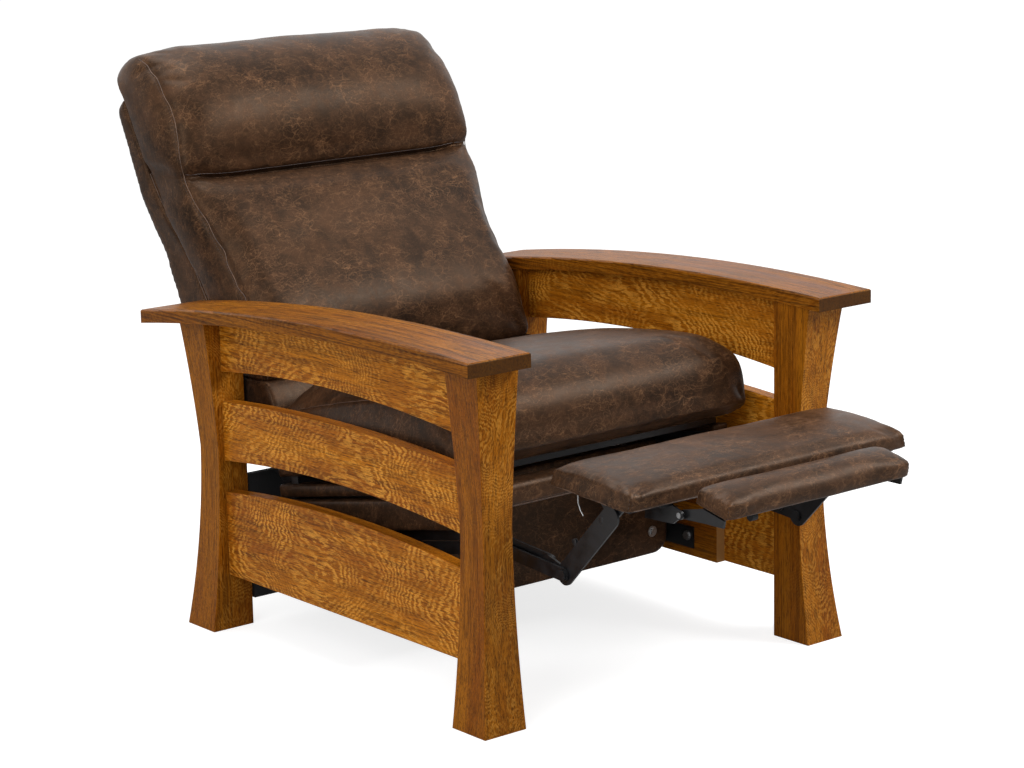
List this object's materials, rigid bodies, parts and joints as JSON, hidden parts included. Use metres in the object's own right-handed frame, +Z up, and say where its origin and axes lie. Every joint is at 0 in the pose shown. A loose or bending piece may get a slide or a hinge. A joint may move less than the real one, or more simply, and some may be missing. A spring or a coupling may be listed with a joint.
{
  "type": "reclining armchair",
  "caption": "Leather reclining armchair in a slatted oak frame with flared legs, curved arms and a folding footrest.",
  "frame": {"origin": "centre of the chair's footprint at floor level", "axes": "+X to the side, -Y the way the sitter faces, +Z up"},
  "size_m": [0.8784, 1.4924, 1.0121],
  "materials": {
    "oak": "satin stained quarter-sawn oak",
    "leather": "semi-gloss distressed leather",
    "black_steel": "semi-gloss black paint",
    "zinc": "zinc plated",
    "roller": "matt black",
    "dust_cover": "black cambric dust cover",
    "hidden_wood": "unfinished"
  },
  "bodies": {
    "frame": {"arm_apron_left": "oak", "arm_apron_right": "oak", "arm_left": "oak", "arm_right": "oak", "base_bolts": "zinc", "base_rail_left": "black_steel", "base_rail_right": "black_steel", "base_tube_front": "black_steel", "base_tube_rear": "black_steel", "leg_front_left": "oak", "leg_front_right": "oak", "leg_rear_left": "oak", "leg_rear_right": "oak", "mounting_cleat_left": "oak", "mounting_cleat_right": "oak", "rear_cover": "dust_cover", "side_panel_left": "oak", "side_panel_right": "oak", "side_slat_left": "oak", "side_slat_right": "oak"},
    "seat": {"carriage_plate_left": "black_steel", "carriage_plate_right": "black_steel", "fascia": "leather", "fascia_bolts": "zinc", "glide_rollers": "roller", "seat_cross_tube": "black_steel", "seat_cushion": "leather", "seat_front_rail": "leather", "seat_pins": "black_steel", "seat_rail_left": "leather", "seat_rail_right": "leather", "seat_rear_rail": "hidden_wood", "seat_skirt_left": "leather", "seat_skirt_right": "leather", "seat_springs": "zinc", "spring_bars": "black_steel"},
    "backrest": {"back_bracket_left": "black_steel", "back_bracket_right": "black_steel", "back_shell": "leather", "headrest_cushion": "leather", "lumbar_cushion": "leather"},
    "main_links": {"knee_pins": "black_steel", "main_link_left": "black_steel", "main_link_right": "black_steel"},
    "control_links": {"control_link_left": "black_steel", "control_link_right": "black_steel"},
    "wide_links": {"wide_link_left": "black_steel", "wide_link_pins": "black_steel", "wide_link_right": "black_steel"},
    "footrest": {"flip_hinge_arms": "black_steel", "flip_pins": "zinc", "footrest_bracket_left": "black_steel", "footrest_bracket_right": "black_steel", "footrest_pad": "leather", "footrest_underboard": "dust_cover"},
    "flip_panel": {"flip_bracket_left": "black_steel", "flip_bracket_right": "black_steel", "flip_bumper": "roller", "flip_pad": "leather", "flip_underboard": "dust_cover"}
  },
  "joints": [
    {"name": "seat_glide", "type": "slide", "parent": "frame", "child": "seat", "axis": [0, -0.9806, 0.1959], "range_m": [-0.0155, 0.0365]},
    {"name": "back_recline", "type": "hinge", "parent": "seat", "child": "backrest", "pos_m": [0, 0.44699, 0.35], "axis": [-1, 0, 0], "range_deg": [-10, 24]},
    {"name": "footrest_drive", "type": "hinge", "parent": "seat", "child": "main_links", "pos_m": [0, -0.27748, 0.26412], "axis": [1, 0, 0], "range_deg": [0, 140]},
    {"name": "control_link_turn", "type": "hinge", "parent": "seat", "child": "control_links", "pos_m": [0, -0.23548, 0.27612], "axis": [1, 0, 0], "range_deg": [0, 140.5]},
    {"name": "knee_turn", "type": "hinge", "parent": "main_links", "child": "wide_links", "pos_m": [0, -0.43501, 0.252], "axis": [1, 0, 0], "range_deg": [-140.5, 0]},
    {"name": "footrest_turn", "type": "hinge", "parent": "wide_links", "child": "footrest", "pos_m": [0, -0.54501, 0.366], "axis": [1, 0, 0], "range_deg": [0, 90.5]},
    {"name": "flip_turn", "type": "hinge", "parent": "footrest", "child": "flip_panel", "pos_m": [0, -0.64101, 0.378], "axis": [1, 0, 0], "range_deg": [0, 167.9]}
  ],
  "couplings": [
    {"joint": "seat_glide", "follows": "back_recline", "m_per_rad": 0.0859},
    {"joint": "control_link_turn", "follows": "footrest_drive", "ratio": 1},
    {"joint": "knee_turn", "follows": "footrest_drive", "ratio": -1},
    {"joint": "footrest_turn", "follows": "footrest_drive", "ratio": 0.64286},
    {"joint": "flip_turn", "follows": "footrest_drive", "ratio": 1.1957}
  ]
}
